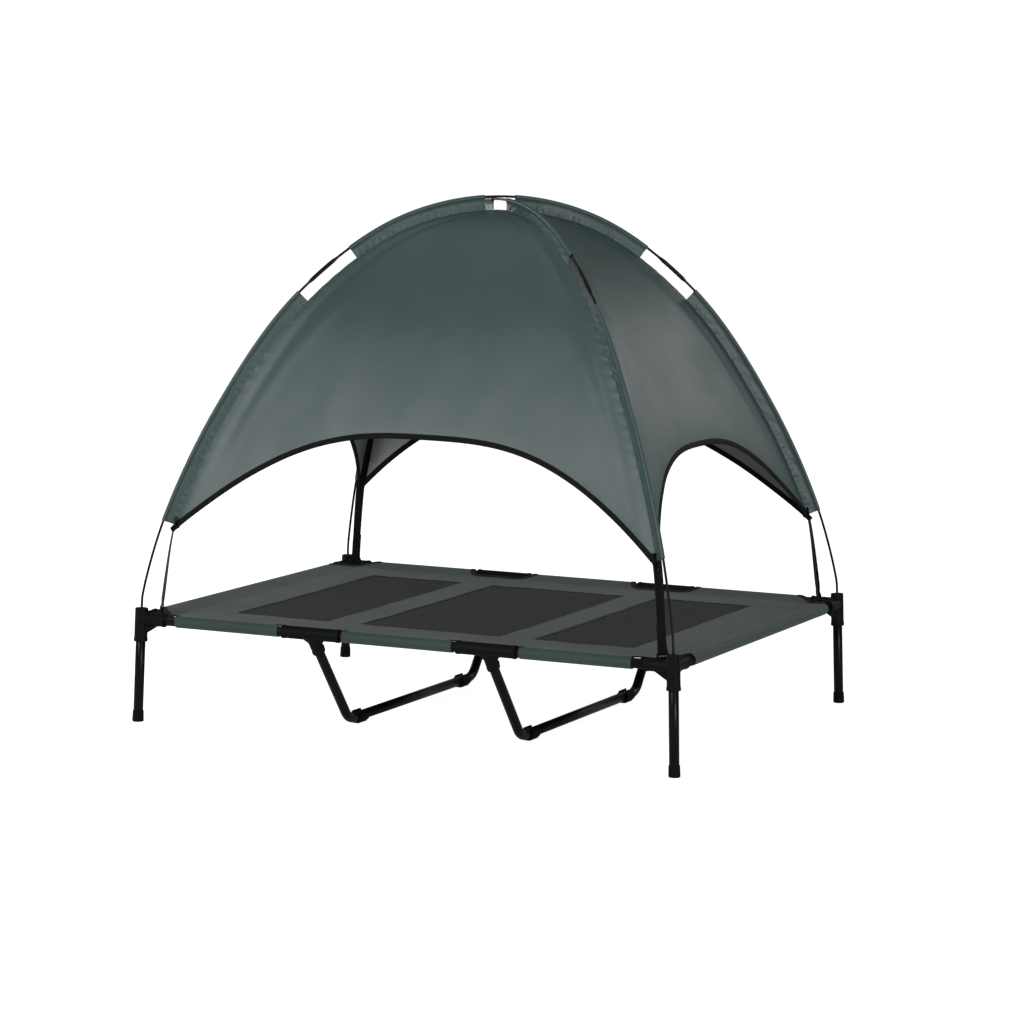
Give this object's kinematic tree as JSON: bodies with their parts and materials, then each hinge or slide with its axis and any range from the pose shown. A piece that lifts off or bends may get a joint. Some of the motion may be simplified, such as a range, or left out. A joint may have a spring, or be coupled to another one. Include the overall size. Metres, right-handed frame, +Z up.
{
  "type": "raised dog bed with canopy",
  "caption": "Raised mesh dog bed on a plug-together tube frame, shaded by a domed canopy on crossing poles that lifts off.",
  "frame": {"origin": "On the floor, under the middle of the bed.", "axes": "+X along the long side, toward the right; +Y from the front long side to the back one; +Z up."},
  "size_m": [1.2198, 0.9202, 1.0786],
  "materials": {
    "coated_steel": "black powder coat, semi-gloss",
    "moulded_plastic": "black, fine moulded grain",
    "rubber_feet": "black, matt",
    "oxford_fabric": "grey-green coated plain weave",
    "canopy_fabric": "grey-green coated plain weave, silver inside",
    "mesh_fabric": "charcoal open weave",
    "webbing": "black ribbed webbing",
    "pole_fibreglass": "black fibreglass with metal ferrules"
  },
  "bodies": {
    "frame": {"corner_connector_front_left": "moulded_plastic", "leg_tube_front_left": "coated_steel", "foot_cap_front_left": "rubber_feet", "corner_connector_front_right": "moulded_plastic", "leg_tube_front_right": "coated_steel", "foot_cap_front_right": "rubber_feet", "corner_connector_back_right": "moulded_plastic", "leg_tube_back_right": "coated_steel", "foot_cap_back_right": "rubber_feet", "corner_connector_back_left": "moulded_plastic", "leg_tube_back_left": "coated_steel", "foot_cap_back_left": "rubber_feet", "front_rail_left": "coated_steel", "front_rail_middle": "coated_steel", "front_rail_right": "coated_steel", "back_rail_left": "coated_steel", "back_rail_middle": "coated_steel", "back_rail_right": "coated_steel", "left_rail": "coated_steel", "right_rail": "coated_steel", "tee_connector_front_left": "moulded_plastic", "support_leg_front_left": "coated_steel", "foot_clip_front_left": "rubber_feet", "tee_connector_back_left": "moulded_plastic", "support_leg_back_left": "coated_steel", "foot_clip_back_left": "rubber_feet", "tee_connector_front_right": "moulded_plastic", "support_leg_front_right": "coated_steel", "foot_clip_front_right": "rubber_feet", "tee_connector_back_right": "moulded_plastic", "support_leg_back_right": "coated_steel", "foot_clip_back_right": "rubber_feet", "support_crossbar_left": "coated_steel", "support_crossbar_right": "coated_steel", "bed_fabric": "oxford_fabric", "mesh_panel_left": "mesh_fabric", "mesh_panel_centre": "mesh_fabric", "mesh_panel_right": "mesh_fabric"},
    "canopy": {"canopy_panel_front": "canopy_fabric", "canopy_panel_right": "canopy_fabric", "canopy_panel_back": "canopy_fabric", "canopy_panel_left": "canopy_fabric", "pole_lower_front_left": "pole_fibreglass", "strap_front_left": "webbing", "strap_loop_front_left": "moulded_plastic", "pole_lower_front_right": "pole_fibreglass", "strap_front_right": "webbing", "strap_loop_front_right": "moulded_plastic", "pole_lower_back_right": "pole_fibreglass", "strap_back_right": "webbing", "strap_loop_back_right": "moulded_plastic", "pole_lower_back_left": "pole_fibreglass", "strap_back_left": "webbing", "strap_loop_back_left": "moulded_plastic", "pole_middle_over": "pole_fibreglass", "pole_middle_under": "pole_fibreglass"},
    "button_front_left": {"snap_button_front_left": "moulded_plastic"},
    "button_back_left": {"snap_button_back_left": "moulded_plastic"},
    "button_front_right": {"snap_button_front_right": "moulded_plastic"},
    "button_back_right": {"snap_button_back_right": "moulded_plastic"}
  },
  "joints": [
    {"name": "canopy_lift", "type": "slide", "parent": "frame", "child": "canopy", "axis": [0, 0, 1], "range_m": [0, 0.15]},
    {"name": "snap_button_press_front_left", "type": "slide", "parent": "frame", "child": "button_front_left", "axis": [-1, 0, 0], "range_m": [0, 0.003], "stiffness_N_per_m": 1500},
    {"name": "snap_button_press_back_left", "type": "slide", "parent": "frame", "child": "button_back_left", "axis": [-1, 0, 0], "range_m": [0, 0.003], "stiffness_N_per_m": 1500},
    {"name": "snap_button_press_front_right", "type": "slide", "parent": "frame", "child": "button_front_right", "axis": [-1, 0, 0], "range_m": [0, 0.003], "stiffness_N_per_m": 1500},
    {"name": "snap_button_press_back_right", "type": "slide", "parent": "frame", "child": "button_back_right", "axis": [-1, 0, 0], "range_m": [0, 0.003], "stiffness_N_per_m": 1500}
  ]
}
